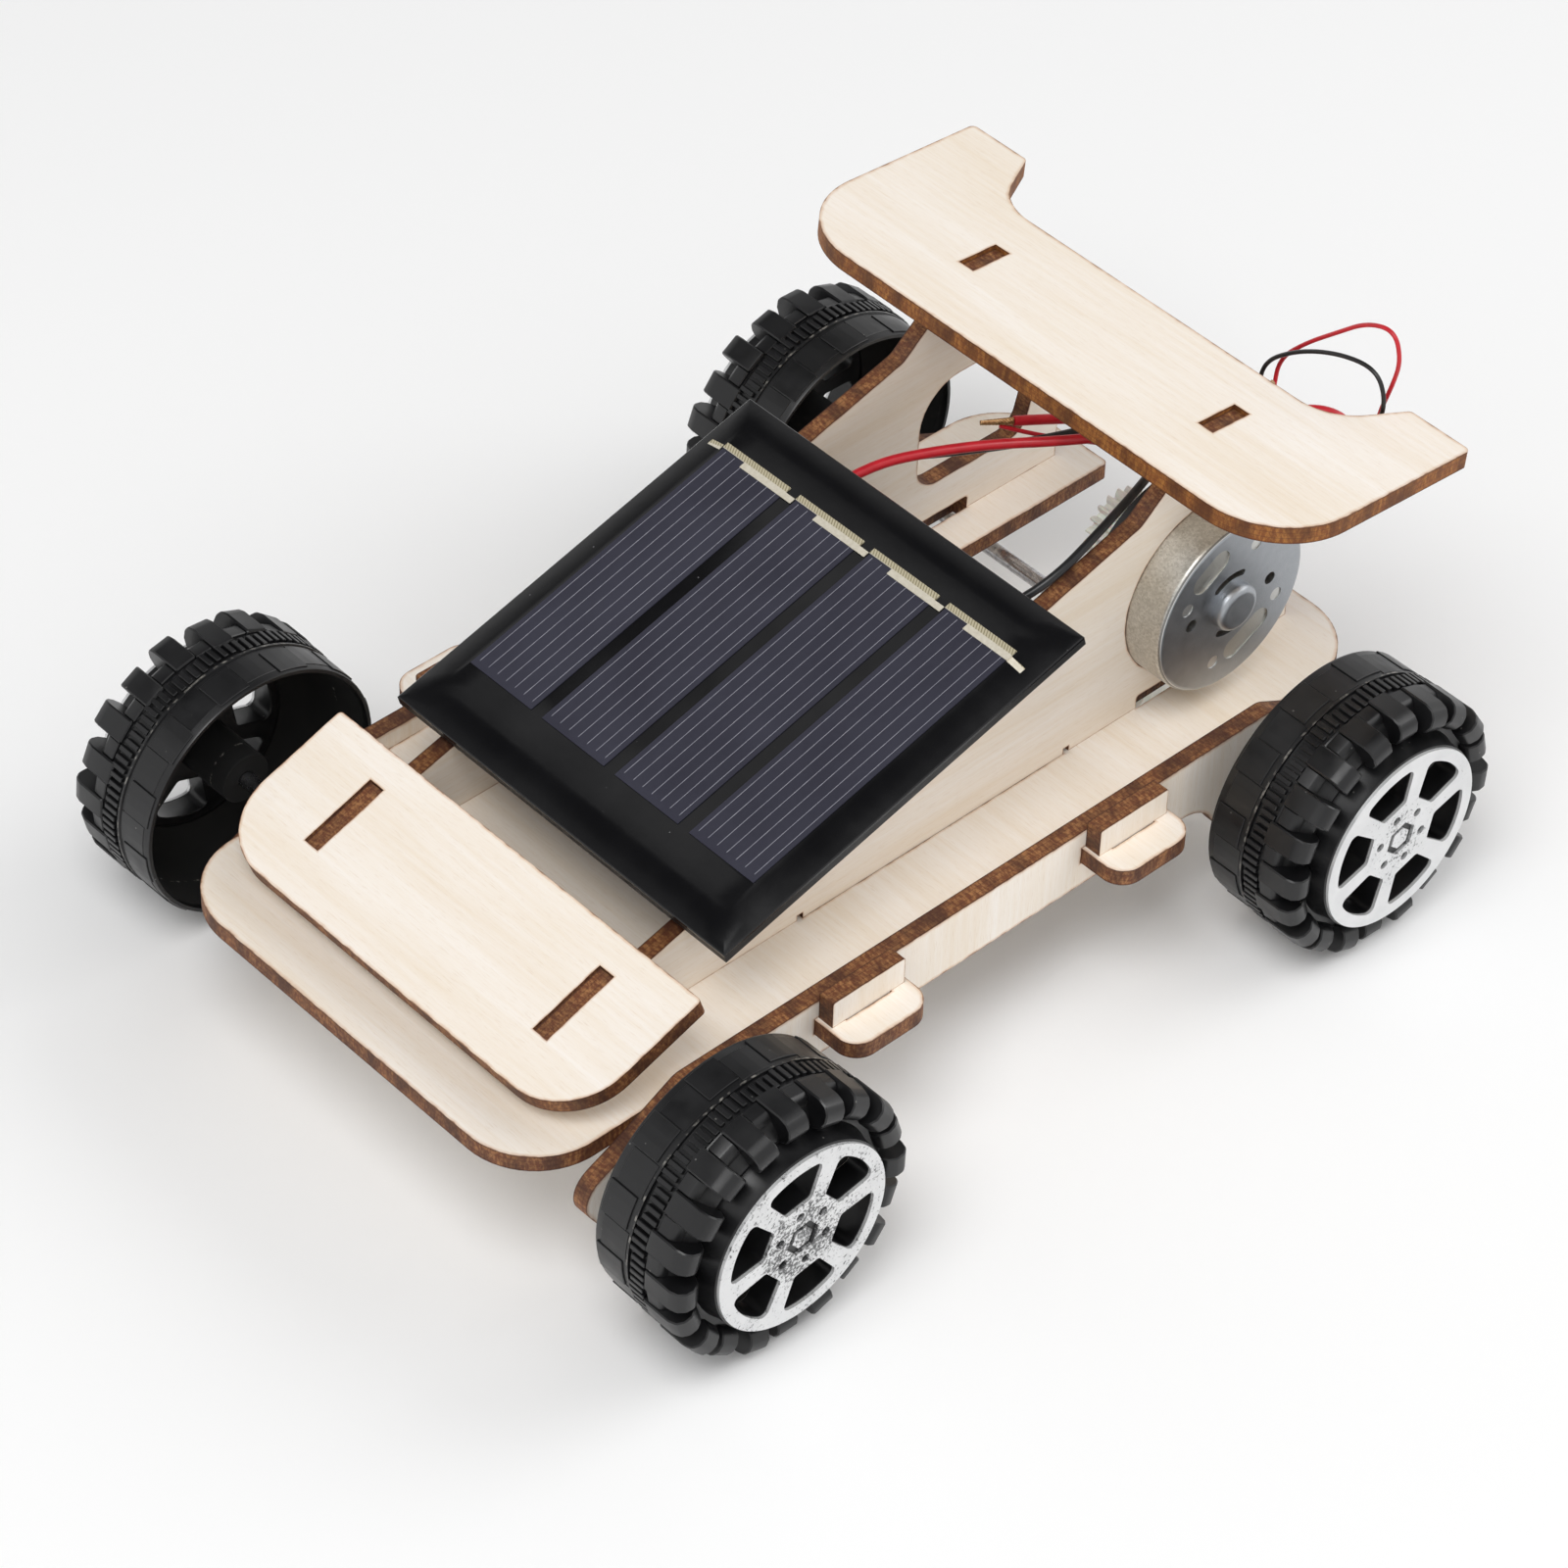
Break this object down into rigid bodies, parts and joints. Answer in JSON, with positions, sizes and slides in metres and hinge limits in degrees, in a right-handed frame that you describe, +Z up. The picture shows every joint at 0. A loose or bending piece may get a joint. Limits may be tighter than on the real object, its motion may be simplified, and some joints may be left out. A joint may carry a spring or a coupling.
{
  "type": "solar powered toy car",
  "caption": "Small laser-cut plywood car with a sloping solar panel, a geared electric motor driving the rear axle, spoked black wheels and a raised rear wing.",
  "frame": {"origin": "on the floor, under the middle of the car's footprint", "axes": "+X towards the motor side, +Y along the car towards its tail, +Z up"},
  "size_m": [0.11, 0.137, 0.069],
  "materials": {
    "plywood": "raw pale plywood with laser-burnt edges",
    "wheel_plastic": "satin black moulded plastic",
    "silver_foil": "hot-stamped silver foil",
    "steel_rod": "bright drawn steel",
    "gear_plastic": "translucent white moulded plastic",
    "motor_steel": "zinc-plated pressed steel",
    "motor_plastic": "black moulded plastic",
    "magnet": "dark grey ferrite",
    "copper_winding": "enamelled copper and bare strands",
    "bearing_bronze": "sintered bronze",
    "board_black": "black printed circuit board",
    "resin": "glossy cast resin",
    "silicon": "dark blue silicon under clear resin",
    "tinned_ribbon": "tinned copper and solder",
    "foam_tape": "white double-sided foam tape",
    "red_insulation": "red extruded vinyl",
    "black_insulation": "black extruded vinyl"
  },
  "bodies": {
    "chassis": {"base_plate": "plywood", "rail_left": "plywood", "rail_right": "plywood", "side_panel_left": "plywood", "side_panel_right": "plywood", "front_wing": "plywood", "rear_wing": "plywood", "rail_key_front_left": "plywood", "rail_key_front_right": "plywood", "rail_key_rear_left": "plywood", "rail_key_rear_right": "plywood", "solar_tape": "foam_tape", "solar_board": "board_black", "solar_resin": "resin", "solar_cells": "silicon", "cell_tabs": "tinned_ribbon", "solar_solder": "tinned_ribbon", "motor_can": "motor_steel", "motor_cap": "motor_plastic", "motor_bushes": "bearing_bronze", "motor_magnets": "magnet", "motor_terminals": "tinned_ribbon", "solar_lead_red": "red_insulation", "solar_lead_black": "black_insulation", "motor_lead_red": "red_insulation", "motor_lead_black": "black_insulation", "splice_red": "copper_winding", "splice_black": "tinned_ribbon"},
    "front_axle_set": {"front_axle": "steel_rod", "wheel_front_left": "wheel_plastic", "wheel_front_right": "wheel_plastic", "hub_face_front_left": "silver_foil", "hub_face_front_right": "silver_foil"},
    "rear_axle_set": {"rear_axle": "steel_rod", "wheel_rear_left": "wheel_plastic", "wheel_rear_right": "wheel_plastic", "hub_face_rear_left": "silver_foil", "hub_face_rear_right": "silver_foil", "axle_gear": "gear_plastic"},
    "motor_rotor": {"motor_shaft": "steel_rod", "motor_armature": "copper_winding", "motor_pinion": "gear_plastic"}
  },
  "joints": [
    {"name": "front_axle_spin", "type": "hinge", "parent": "chassis", "child": "front_axle_set", "pos_m": [0, -0.04825, 0.0175], "axis": [1, 0, 0], "continuous": true},
    {"name": "rear_axle_spin", "type": "hinge", "parent": "chassis", "child": "rear_axle_set", "pos_m": [0, 0.04825, 0.0175], "axis": [1, 0, 0], "continuous": true},
    {"name": "motor_spin", "type": "hinge", "parent": "chassis", "child": "motor_rotor", "pos_m": [0, 0.0463, 0.0369], "axis": [1, 0, 0], "continuous": true}
  ],
  "couplings": [
    {"joint": "motor_spin", "follows": "rear_axle_spin", "ratio": -3.3333}
  ]
}
